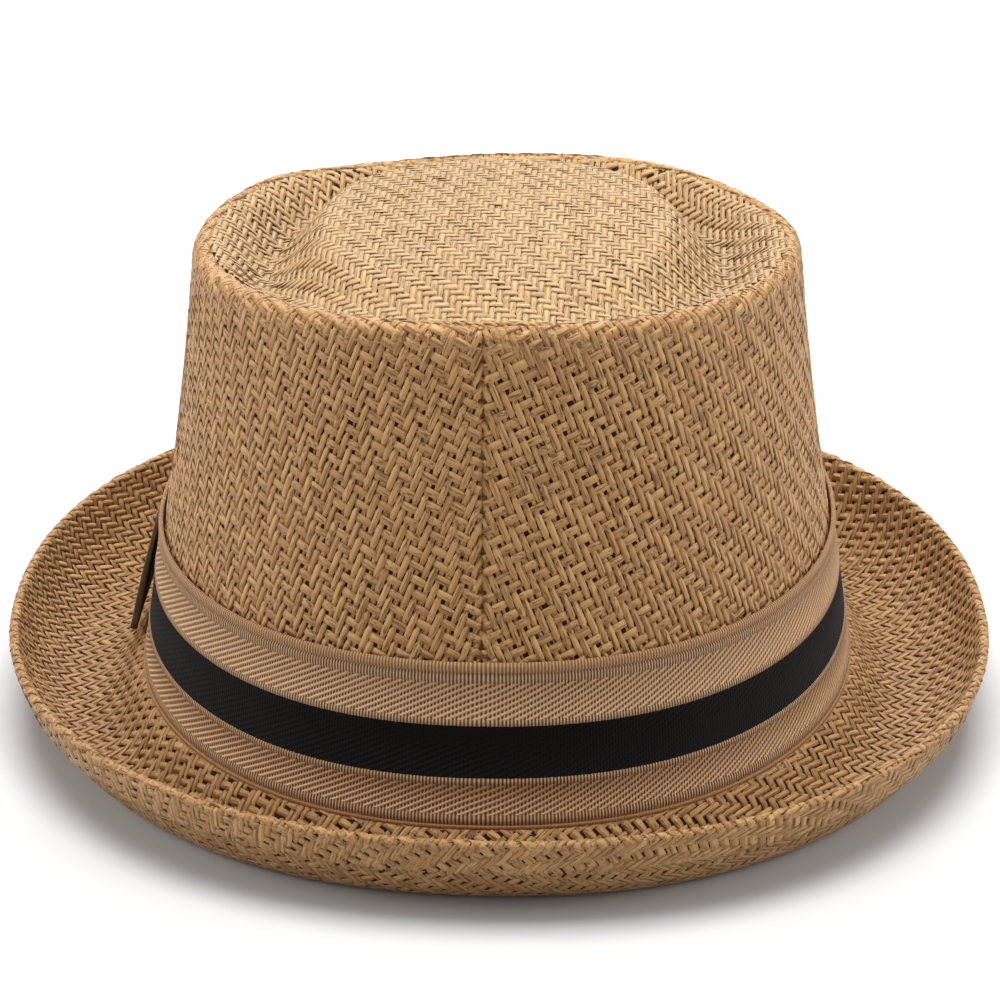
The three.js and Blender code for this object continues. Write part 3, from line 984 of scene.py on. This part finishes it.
def tip_cloth(sizes):
    """The tip's cloth, whose strands run straight as seen from above."""
    turn = round_turns(BACK, 360)
    skirt = crest_point(turn, -6 * MM + 0 * turn, 0 * turn)
    rows = [skirt]
    for share in np.linspace(0, 1, 14):
        rows.append(tip_point(turn, blend_round(GROOVE_INSET, turn) * share))
    rows += [plateau_point(turn, share) for share in np.linspace(0.97, 0.01, 40)]
    grid = np.stack(rows, 1)
    tree = grid_tree(grid[:-1])
    half = half_cloth(sizes)
    step = 1 * MM
    width, length = CREST_HALF_WIDTH + 4 * MM, CREST_HALF_LENGTH + 4 * MM
    xs = np.arange(-width, width, step)
    ys = np.arange(-length, length, step)
    heights = np.zeros((len(xs), len(ys)))
    for i, x in enumerate(xs):
        for j, y in enumerate(ys):
            hit = tree.ray_cast(Vector((x, CROWN_CENTRE_Y + y, 0.3)), Vector((0, 0, -1)))[0]
            heights[i, j] = hit.z if hit else CREST_HEIGHT
    for _ in range(2):
        even_out(heights)
        even_out(heights.T)
    slope_x, slope_y = np.gradient(heights, step)
    ring_turn = round_turns(BACK, COLUMNS)
    edge = crest_point(ring_turn, 0 * ring_turn, 0 * ring_turn)
    plan = RingPlan(edge, crest_outward(ring_turn))
    seam = crest_seam(ring_turn) + 0.25 * MM
    crease = TIP_CREASE["depth"] + TIP_CREASE["deeper"] * (
        crest_seam(ring_turn) - CREST_SEAM["inset"])

    def seen_from_above(chart):
        return np.stack([-chart[:, 0], CROWN_CENTRE_Y + chart[:, 1]], -1)

    def lookup(values, spot):
        x = (spot[:, 0] + width) / step
        y = (spot[:, 1] - CROWN_CENTRE_Y + length) / step
        return blend_grid(values, x, y)

    def way_in(spot):
        """Way in from the seam, and the depth of the seam's crease there."""
        column, out = plan.locate(spot)
        return -out - at_column(column, seam), at_column(column, crease)

    def place(chart):
        spot = seen_from_above(chart)
        inward, depth = way_in(spot)
        tucked = np.clip(1 - inward / TIP_CREASE["reach"], 0, 2) ** 2 * depth
        ways = np.column_stack([
            -lookup(slope_x, spot), -lookup(slope_y, spot), np.ones(len(spot))])
        ways /= np.linalg.norm(ways, axis=1, keepdims=True)
        points = np.column_stack([spot, lookup(heights, spot) - tucked])
        return points - ways * half, ways

    def inside(chart):
        return way_in(seen_from_above(chart))[0] > -TIP_UNDERLAP

    def pressed(chart):
        return np.full(len(chart), 0.75)

    box = ((-width, -length), (width, length))
    cloth = Cloth(sizes, "tip", box, place, inside, pressed)
    reach = np.sqrt(np.linspace(1, 0.0001, 40))
    rim = crest_point(turn[::3], crest_seam(turn[::3]) - 0.4 * MM, 0 * turn[::3])[:, :2]
    middle = np.array([0, CROWN_CENTRE_Y])
    spots = middle + (rim - middle)[:, None] * reach[None, :, None]
    flat = np.stack([-spots[..., 0], spots[..., 1] - CROWN_CENTRE_Y], -1).reshape(-1, 2)
    cloth.shade_sheet_places = place(flat)[0].reshape(*spots.shape[:2], 3)
    return cloth


def grid_tree(grid):
    """Search tree of a grid of points that is closed round the hat."""
    columns, rows = grid.shape[:2]
    quads = []
    for column in range(columns):
        other = (column + 1) % columns
        for row in range(rows - 1):
            quads.append((column * rows + row, column * rows + row + 1,
                          other * rows + row + 1, other * rows + row))
    return BVHTree.FromPolygons(grid.reshape(-1, 3).tolist(), quads)


def brim_section(sizes, turn):
    """Middle of the brim's cloth from the head ring out, round the lip and back under."""
    half = half_cloth(sizes)
    out = np.linspace(-0.05, 1, BRIM_STEPS)
    table = {name: np.interp(out, BRIM_ROWS["out"], BRIM_ROWS[name])
             for name in ("head", "lip", "thickness")}
    for values in table.values():
        for _ in range(3):
            even_out(values)
    flange_under = head_point(turn)[:, 2] - SEAM_GAP - WALL_THICKNESS
    x, y = oval(turn)
    reach = blend_round(BRIM_REACH, turn) - BRIM_SKEW * 2 * x * y
    under = np.stack([
        reach[:, None] * out[None],
        flange_under[:, None] * table["head"][None] + LIP_HEIGHT * table["lip"][None],
    ], -1)
    along = np.gradient(under, axis=1)
    along /= np.linalg.norm(along, axis=-1, keepdims=True)
    above = np.stack([-along[..., 1], along[..., 0]], -1)
    seated = np.interp(out, (0.1, 0.3, 0.6, 0.8), (1, 0, 0, 1))
    lift = half + (WALL_THICKNESS * table["thickness"] - 2 * half) * seated
    top = under + above * lift[None, :, None]
    below = under + above * half
    radius = np.linalg.norm(top[:, -1] - below[:, -1], axis=1) / 2
    centre = (top[:, -1] + below[:, -1]) / 2
    arc = []
    for angle in np.linspace(0, math.pi, 9)[1:-1]:
        arc.append(centre + radius[:, None] * (
            above[:, -1] * math.cos(angle) + along[:, -1] * math.sin(angle)))
    path = np.concatenate([top, np.stack(arc, 1), below[:, ::-1]], 1)
    steps = np.linalg.norm(np.diff(path, axis=1), axis=-1)
    gone = np.concatenate([np.zeros((len(turn), 1)), np.cumsum(steps, 1)], 1)
    lip_at = gone[:, top.shape[1] + len(arc) // 2]
    return path, gone, lip_at + sizes.hem_width, reach * out[0]


def brim_cloth(sizes):
    """The brim's cloth, with one straight grain as seen from above, turned back at the lip."""
    turn = round_turns(BACK, COLUMNS)
    path, gone, length, first = brim_section(sizes, turn)
    head = head_point(turn)
    ways = head_outward(turn)
    columns = np.empty((len(turn), SHEET_ROWS, 3))
    for place in range(len(turn)):
        even = np.linspace(0, length[place], SHEET_ROWS)
        out = np.interp(even, gone[place], path[place, :, 0])
        columns[place] = head[place] + ways[place] * out[:, None]
        columns[place, :, 2] = np.interp(even, gone[place], path[place, :, 1])
    sheet = Sheet(columns, flip=True)
    plan = RingPlan(head, ways)
    angle = sizes.brim_grain_angle
    axis_x = np.array([math.cos(angle), math.sin(angle)])
    axis_y = np.array([-math.sin(angle), math.cos(angle)])
    centre = np.array([0, CROWN_CENTRE_Y])

    def unroll(chart):
        spot = centre + chart[:, :1] * axis_x + chart[:, 1:] * axis_y
        column, out = plan.locate(spot)
        return column, out - at_column(column, first)

    def place(chart):
        column, way = unroll(chart)
        return sheet.at(column, way / at_column(column, length) * (SHEET_ROWS - 1))

    def inside(chart):
        column, way = unroll(chart)
        return (way > 0) & (way < at_column(column, length))

    def pressed(chart):
        column, way = unroll(chart)
        lip = at_column(column, length) - sizes.hem_width
        past = way - lip + LIP_PRESS["before_lip"]
        return 0.3 + 0.7 * np.clip(past / LIP_PRESS["over"], 0, 1)

    reach = HEAD_HALF_LENGTH + max(BRIM_REACH.values()) + 3 * sizes.hem_width
    box = ((-reach, -reach), (reach, reach))
    cloth = Cloth(sizes, "brim", box, place, inside, pressed)
    cloth.shade_sheet_places = sheet.points[::4, ::3]
    return cloth


def edit_whole(mesh_operator, **settings):
    """Runs a mesh operator on all of the active piece."""
    bpy.ops.object.mode_set(mode="EDIT")
    bpy.ops.mesh.select_all(action="SELECT")
    mesh_operator(**settings)
    bpy.ops.object.mode_set(mode="OBJECT")


def wrapped_sheet(name, places, thickness):
    """A grid primitive laid on rows and columns of places and thickened."""
    columns, rows = places.shape[0] - 1, places.shape[1] - 1
    bpy.ops.object.select_all(action="DESELECT")
    bpy.ops.mesh.primitive_grid_add(x_subdivisions=columns, y_subdivisions=rows)
    sheet = bpy.context.object
    sheet.name = sheet.data.name = name
    grid = np.empty(len(sheet.data.vertices) * 3)
    sheet.data.vertices.foreach_get("co", grid)
    grid = grid.reshape(-1, 3)
    column = np.rint((grid[:, 0] + 1) / 2 * columns).astype(int)
    row = np.rint((grid[:, 1] + 1) / 2 * rows).astype(int)
    sheet.data.vertices.foreach_set("co", places[column, row].ravel())
    sheet.data.uv_layers[0].name = "UVMap"
    edit_whole(bpy.ops.mesh.remove_doubles, threshold=0.01 * MM)
    bpy.ops.object.shade_smooth()
    wall = sheet.modifiers.new("wall", "SOLIDIFY")
    wall.thickness = thickness
    wall.offset = -1
    bpy.ops.object.modifier_apply(modifier=wall.name)
    return sheet


def painted_shade_sheet(name, cloth, node, colour):
    """A dark sheet in the middle of a cloth: painted shade that fills the small holes between
    its strands.
    """
    finish = Finish(name)
    mottle = finish.noise(finish.own_space(), 700.0, 3.0)
    # Painted shade: the dark straw dimmed almost to black, with a faint mottle
    finish.set(Base_Color=finish.mix(mottle, dim(colour, 0.03), dim(colour, 0.1)),
               Roughness=0.9, Specular_IOR_Level=0.1)
    sheet = wrapped_sheet(name, cloth.shade_sheet_places, 0.06 * MM)
    finish_piece(sheet, finish.material, node)


# Operators


class HAT_OT_weave_crown(bpy.types.Operator):
    """Weave the crown's wall: long strands left and right, cross strands above and below"""

    bl_idname = "hat.weave_crown"
    bl_label = "Weave the crown wall"

    def execute(self, context):
        sizes, colours = context.scene.hat_sizes, context.scene.hat_colours
        rng = np.random.default_rng(sizes.seed)
        straw = straw_finish("crown_straw_strands", colours.straw_light, colours.straw_dark)
        cloth = crown_cloth(sizes)
        warps = list(cloth.strands("warp", rng))
        wefts = list(cloth.strands("weft", rng))
        parts = {
            "crown_long_strands_1": warps[:len(warps) // 2],
            "crown_long_strands_2": warps[len(warps) // 2:],
        }
        total = sum(len(run["points"]) for run in wefts)
        gone = np.cumsum([len(run["points"]) for run in wefts])
        middle = int(np.searchsorted(gone, total / 2))
        parts["crown_cross_strands_1"] = wefts[:middle]
        parts["crown_cross_strands_2"] = wefts[middle:]
        for name, runs in parts.items():
            finish_piece(strand_mesh(name, runs), straw, "crown_side")
        painted_shade_sheet("crown_ground", cloth, "crown_side", colours.straw_dark)
        return {"FINISHED"}


class HAT_OT_weave_tip(bpy.types.Operator):
    """Weave the tip that closes the crown"""

    bl_idname = "hat.weave_tip"
    bl_label = "Weave the crown tip"

    def execute(self, context):
        sizes, colours = context.scene.hat_sizes, context.scene.hat_colours
        rng = np.random.default_rng(sizes.seed + 1)
        # Painted sheen: the tip's strands are painted paler than the crown's, with lighter dark
        # strands and lighter creases
        straw = straw_finish("tip_straw_strands", colours.tip_light_painted_sheen,
                             dim(colours.straw_light, 0.72), 0.6)
        cloth = tip_cloth(sizes)
        runs = [*cloth.strands("warp", rng), *cloth.strands("weft", rng)]
        finish_piece(strand_mesh("tip_strands", runs), straw, "crown_tip")
        painted_shade_sheet("tip_ground", cloth, "crown_tip", colours.straw_dark)
        return {"FINISHED"}


class HAT_OT_weave_brim(bpy.types.Operator):
    """Weave the brim and turn its edge under"""

    bl_idname = "hat.weave_brim"
    bl_label = "Weave the brim"

    def execute(self, context):
        sizes, colours = context.scene.hat_sizes, context.scene.hat_colours
        rng = np.random.default_rng(sizes.seed + 2)
        # Painted shade: the brim's straw is the crown's straw painted a little darker
        straw = straw_finish("brim_straw_strands", dim(colours.straw_light, 0.93),
                             dim(colours.straw_dark, 0.85), 0.55)
        cloth = brim_cloth(sizes)
        for kind, name in (("warp", "brim_long_strands"), ("weft", "brim_cross_strands")):
            piece = strand_mesh(name, cloth.strands(kind, rng))
            finish_piece(piece, straw, "brim")
        painted_shade_sheet("brim_ground", cloth, "brim", colours.straw_dark)
        core = strand_mesh("brim_edge_cord", brim_core(sizes), THREAD)
        finish_piece(core, straw, "brim")
        return {"FINISHED"}


class HAT_OT_sew_ribbon(bpy.types.Operator):
    """Lay the striped ribbon round the foot of the crown"""

    bl_idname = "hat.sew_ribbon"
    bl_label = "Sew on the ribbon"

    def execute(self, context):
        sizes, colours = context.scene.hat_sizes, context.scene.hat_colours
        rises, prouds = ribbon_profile()
        turn = round_turns(FRONT, RIBBON_COLUMNS)
        perimeter = lengths_along(band_point(turn, 0.5 + 0 * turn, RIBBON_FACE + 0 * turn))[-1]
        out = RIBBON_FACE + prouds
        places = np.stack([band_point(turn, rise + 0 * turn, way + 0 * turn)
                           for rise, way in zip(rises, out)], 1)
        ribbon = wrapped_sheet("ribbon", places, RIBBON_FACE - 0.2 * MM)
        lift_uv(ribbon.data, rises)
        finish_piece(ribbon, ribbon_finish(sizes, colours, perimeter), "hat_band")
        return {"FINISHED"}


def ribbon_profile():
    """Rises up the ribbon as shares of its height, and how far it stands proud there."""
    rises, prouds = [BAND_FOOT], [0.0]
    low = BAND_FOOT
    for stripe in BAND_STRIPES:
        steps = 5 if "edge" in stripe["weave"] else 3 if stripe["proud"] > 0.1 else 1
        for step in range(steps):
            share = (step + 0.5) / steps
            rises.append(low + (stripe["top"] - low) * share)
            prouds.append(stripe["proud"] * math.sqrt(max(1 - (2 * share - 1) ** 2, 0)) * MM)
        low = stripe["top"]
        rises.append(low)
        prouds.append((-0.3 if "edge" in stripe["weave"] or low > 0.9 else -0.08) * MM)
    return np.array(rises), np.array(prouds)


def lift_uv(mesh, rises):
    """Moves the grid's UV rows to the real rises up the ribbon."""
    layer = mesh.uv_layers["UVMap"]
    uv = np.empty(len(mesh.loops) * 2)
    layer.data.foreach_get("uv", uv)
    uv = uv.reshape(-1, 2)
    uv[:, 1] = np.interp(uv[:, 1], np.linspace(0, 1, len(rises)), rises)
    layer.data.foreach_set("uv", uv.ravel())


def tab_place(length_share, drop, out):
    """Places on the leather tab and the way its face looks.

    They are given by the share of its length from the front, the way down and the way out.
    The leather thins towards its top edge.
    """
    seat_out = RIBBON_FACE + TAB_GAP
    back = band_point(np.array([math.pi / 2]), np.array([TAB_SEAT_RISE]), [seat_out])[0]
    y = TAB_BACK_END - TAB_LENGTH * (1 - length_share)
    share = np.abs(y / (back[1] - CROWN_CENTRE_Y)) ** (OVAL_POWER / 2)
    turn = np.arcsin(np.sign(y) * share)
    seat = band_point(turn, TAB_SEAT_RISE + 0 * turn, seat_out + 0 * turn)
    side = band_point(0 * turn, TAB_SEAT_RISE + 0 * turn, seat_out + 0 * turn)
    seat[:, 0] += drop / TAB_HEIGHT * (side[:, 0] - seat[:, 0])
    away = head_outward(turn)
    thinned = np.interp(
        drop / TAB_HEIGHT, (0, TAB_THINNING["full_at"]), (TAB_THINNING["top"], 1))
    down = away * math.sin(TAB_LEAN) - UP * math.cos(TAB_LEAN)
    face = away * math.cos(TAB_LEAN) + UP * math.sin(TAB_LEAN)
    return seat + down * (TAB_DROP + drop)[:, None] + face * (out * thinned)[:, None], face


class HAT_OT_cut_tab(bpy.types.Operator):
    """Cut the leather tab, round its corners and bend it to the ribbon"""

    bl_idname = "hat.cut_tab"
    bl_label = "Cut the leather tab"

    def execute(self, context):
        sizes, colours = context.scene.hat_sizes, context.scene.hat_colours
        bpy.ops.object.select_all(action="DESELECT")
        bpy.ops.mesh.primitive_cube_add(size=1)
        tab = context.object
        tab.name = tab.data.name = "leather_plate"
        tab.scale = (TAB_LENGTH, TAB_HEIGHT, TAB_THICKNESS)
        bpy.ops.object.transform_apply(scale=True)
        bpy.ops.object.mode_set(mode="EDIT")
        half = TAB_THICKNESS / 2
        select_edges(tab, lambda a, b: abs(a.z - b.z) > half)
        bpy.ops.mesh.bevel(offset=TAB_CORNER_RADIUS, segments=8, affect="EDGES")
        select_edges(tab, lambda a, b: abs(a.z - b.z) < 1e-7 and abs(abs(a.z) - half) < 1e-7)
        bpy.ops.mesh.bevel(offset=TAB_EDGE_ROUNDING, segments=3, affect="EDGES")
        for axis, size, parts in ((Vector((1, 0, 0)), TAB_LENGTH, 16),
                                  (Vector((0, 1, 0)), TAB_HEIGHT, 8)):
            for place in np.linspace(-0.5, 0.5, parts + 1)[1:-1]:
                bpy.ops.mesh.select_all(action="SELECT")
                bpy.ops.mesh.bisect(plane_co=axis * place * size, plane_no=axis)
        bpy.ops.object.mode_set(mode="OBJECT")
        flat = np.array([vertex.co for vertex in tab.data.vertices])
        wear = tab.data.attributes.new("wear", "FLOAT", "POINT")
        to_side = np.minimum(
            TAB_LENGTH / 2 - np.abs(flat[:, 0]), TAB_HEIGHT / 2 - np.abs(flat[:, 1]))
        wear.data.foreach_set("value", np.clip(1 - to_side / TAB_WORN_RIM, 0, 1))
        points = tab_place(
            0.5 - flat[:, 0] / TAB_LENGTH, TAB_HEIGHT / 2 + flat[:, 1], half + flat[:, 2])[0]
        tab.data.vertices.foreach_set("co", points.ravel())
        edit_whole(bpy.ops.mesh.normals_make_consistent, inside=False)
        bpy.ops.object.shade_smooth_by_angle(angle=math.radians(35))
        finish_piece(tab, leather_finish(colours), "leather_tab")
        stitches = strand_mesh("tab_stitches", tab_stitches(sizes), THREAD)
        thread = thread_finish("tab_thread", dim(colours.thread, 0.45))
        finish_piece(stitches, thread, "leather_tab")
        return {"FINISHED"}


def select_edges(piece, wanted):
    """Selects the edges in edit mode whose two ends pass a test."""
    bpy.ops.mesh.select_mode(type="EDGE")
    bpy.ops.mesh.select_all(action="DESELECT")
    shape = bmesh.from_edit_mesh(piece.data)
    for edge in shape.edges:
        edge.select_set(wanted(edge.verts[0].co, edge.verts[1].co))
    bmesh.update_edit_mesh(piece.data)


def tab_stitches(sizes):
    """A row of thread that holds the tab along its top edge."""
    length = TAB_LENGTH - 2 * TAB_CORNER_RADIUS
    count = round(length / TAB_STITCH_PITCH)
    for place in range(count):
        share = np.linspace(0.08, 0.78, 6)
        at = (TAB_CORNER_RADIUS + (place + share) / count * length) / TAB_LENGTH
        rise = 0.2 * MM * np.sin(share / share.max() * math.pi)
        points, face = tab_place(at, sizes.tab_stitch_inset + 0 * at, TAB_THICKNESS + rise)
        yield {"points": points, "ways": face, "width": 0.55 * MM, "thickness": 0.45 * MM}


class HAT_OT_sew_crest(bpy.types.Operator):
    """Sew the tip to the wall: twisted straw at the back and stitches below the fold"""

    bl_idname = "hat.sew_crest"
    bl_label = "Sew the crest"

    def execute(self, context):
        sizes, colours = context.scene.hat_sizes, context.scene.hat_colours
        rng = np.random.default_rng(sizes.seed + 3)
        straw = straw_finish("crest_roll_straw", colours.straw_light, colours.straw_dark)
        runs = [*crest_roll(rng), *seam_allowance(rng)]
        roll = strand_mesh("crest_roll", runs, THREAD)
        finish_piece(roll, straw, "crown_side")
        stitches = strand_mesh("crest_stitches", crest_stitches(), THREAD)
        thread = thread_finish("crest_thread", dim(colours.thread, 0.7))
        finish_piece(stitches, thread, "crown_side")
        return {"FINISHED"}


def crest_roll(rng):
    """Three twisted strands that rise out of the seam at the back of the crest."""
    turn = np.radians(np.linspace(CREST_ROLL["from"], CREST_ROLL["to"], 100))
    full = np.exp(-(((turn - math.pi / 2) / CREST_ROLL["spread"]) ** 4))
    low = tip_point(turn, crest_seam(turn) + 0.5 * MM)
    low[:, 2] -= (2.1 - 1.7 * full) * MM
    inward = -crest_outward(turn)
    way = lengths_along(low)
    for strand in range(3):
        phase = way / CREST_ROLL["twist"] * math.tau + strand * math.tau / 3
        phase = phase + 0.5 * smooth_noise(rng, len(turn), 12)
        radius = (0.4 + 0.2 * full) * MM
        points = (low + inward * (radius * np.cos(phase))[:, None]
                  + UP * (radius * np.sin(phase))[:, None])
        yield {"points": points, "ways": np.broadcast_to(UP, points.shape),
               "width": (1.1 - 0.15 * full) * MM, "thickness": 0.75 * MM,
               "roll": 0.3 * smooth_noise(rng, len(turn), 5),
               "tone": np.clip(0.75 + 0.25 * smooth_noise(rng, len(turn), 9), 0, 1)}


def seam_allowance(rng):
    """Straw that lies pressed behind the crown's back seam."""
    for shift in np.linspace(-1.5, 1.5, 4) * MM:
        turn = math.pi / 2 + shift / HEAD_HALF_LENGTH * np.ones(60)
        up = np.linspace(0, 0.995, 60)
        ways = head_outward(turn)
        points = wall_point(turn, up) - ways * 1.35 * MM
        yield {"points": points, "ways": ways, "width": 1.2 * MM, "thickness": 0.35 * MM,
               "roll": 0.2 * smooth_noise(rng, 60, 5), "tone": 0.3}


def brim_core(sizes):
    """The cord inside the brim's turned edge."""
    turn = round_turns(FRONT, 360)
    path = brim_section(sizes, turn)[0]
    middle = (path[:, BRIM_STEPS - 1] + path[:, -BRIM_STEPS]) / 2
    points = head_point(turn)
    ways = head_outward(turn)
    points += ways * middle[:, :1]
    points[:, 2] = middle[:, 1]
    yield {"points": points, "ways": ways, "width": 0.9 * MM, "thickness": 0.9 * MM,
           "tone": 0.4}


def crest_stitches():
    """Runs of thread just under the fold, all round the crown."""
    turn = round_turns(FRONT, COLUMNS)
    way = lengths_along(wall_point(turn, CREST_STITCH["rise"] + 0 * turn))
    count = int(way[-1] / CREST_STITCH["pitch"])
    for place in range(count):
        share = np.linspace(0.1, 0.75, 5)
        at = np.interp((place + share) / count * way[-1], way, turn)
        out = head_outward(at)
        rise = 0.14 * MM * np.sin(share / share.max() * math.pi) - 0.25 * MM
        points = wall_point(at, CREST_STITCH["rise"] + 0 * at) + out * rise[:, None]
        yield {"points": points, "ways": out, "width": 0.35 * MM, "thickness": 0.3 * MM}


class HAT_OT_set_stage(bpy.types.Operator):
    """Set the floor, the lights and the camera"""

    bl_idname = "hat.set_stage"
    bl_label = "Set the stage"

    def execute(self, context):
        colours = context.scene.hat_colours
        bpy.ops.object.select_all(action="DESELECT")
        bpy.ops.mesh.primitive_plane_add(size=12)
        floor = context.object
        floor.name = floor.data.name = "studio_floor"
        finish = Finish("studio_floor")
        grain = finish.noise(finish.own_space(), 40.0, 3.0)
        finish.set(Base_Color=finish.mix(grain * 0.1, colours.floor, dim(colours.floor, 0.97)),
                   Roughness=0.9, Specular_IOR_Level=0.1)
        floor.data.materials.append(finish.material)
        for light in LIGHTS:
            self.add_light(light)
        world = context.scene.world or bpy.data.worlds.new("studio")
        context.scene.world = world
        world.use_nodes = True
        background = world.node_tree.nodes["Background"]
        background.inputs["Color"].default_value = (1, 1, 1, 1)
        background.inputs["Strength"].default_value = 0.2
        context.scene.view_settings.view_transform = "Standard"
        self.add_camera(context)
        return {"FINISHED"}

    def add_light(self, settings):
        bpy.ops.object.light_add(type="AREA", location=settings["place"])
        light = bpy.context.object
        light.name = settings["name"] + "_light"
        light.data.size = settings["size"]
        light.data.energy = settings["power"]
        aim = LIGHT_AIM - Vector(settings["place"])
        light.rotation_euler = aim.to_track_quat("-Z", "Y").to_euler()

    def add_camera(self, context):
        swing = CAMERA_SWING
        x = CAMERA_SIDEWAYS * math.cos(swing) + CAMERA_DISTANCE * math.sin(swing)
        y = CAMERA_DISTANCE * math.cos(swing) - CAMERA_SIDEWAYS * math.sin(swing)
        bpy.ops.object.camera_add(
            location=(x, y + CROWN_CENTRE_Y, CAMERA_HEIGHT),
            rotation=(math.pi / 2 - CAMERA_PITCH, 0, math.pi - swing))
        camera = context.object
        camera.data.sensor_width = 36
        camera.data.lens = CAMERA_LENS
        context.scene.camera = camera


class HAT_PT_sidebar(bpy.types.Panel):
    """Sidebar panel that lists the hat's steps, sizes and colours"""

    bl_idname = "HAT_PT_sidebar"
    bl_label = "Porkpie hat"
    bl_space_type = "VIEW_3D"
    bl_region_type = "UI"
    bl_category = "Hat"

    def draw(self, context):
        for operator in STEPS:
            self.layout.operator(operator.bl_idname)
        for group in (context.scene.hat_sizes, context.scene.hat_colours):
            box = self.layout.box()
            for name in group.__annotations__:
                box.prop(group, name)


STEPS = (HAT_OT_set_stage, HAT_OT_weave_crown, HAT_OT_weave_tip, HAT_OT_weave_brim,
         HAT_OT_sew_crest, HAT_OT_sew_ribbon, HAT_OT_cut_tab)
CLASSES = (HatSizes, HatColours, *STEPS, HAT_PT_sidebar)


def register():
    for part in CLASSES:
        bpy.utils.register_class(part)
    bpy.types.Scene.hat_sizes = PointerProperty(type=HatSizes)
    bpy.types.Scene.hat_colours = PointerProperty(type=HatColours)


def unregister():
    del bpy.types.Scene.hat_colours
    del bpy.types.Scene.hat_sizes
    for part in reversed(CLASSES):
        bpy.utils.unregister_class(part)


def main():
    register()
    bpy.ops.hat.set_stage()
    bpy.ops.hat.weave_crown()
    bpy.ops.hat.weave_tip()
    bpy.ops.hat.weave_brim()
    bpy.ops.hat.sew_crest()
    bpy.ops.hat.sew_ribbon()
    bpy.ops.hat.cut_tab()


if __name__ == "__main__":
    main()
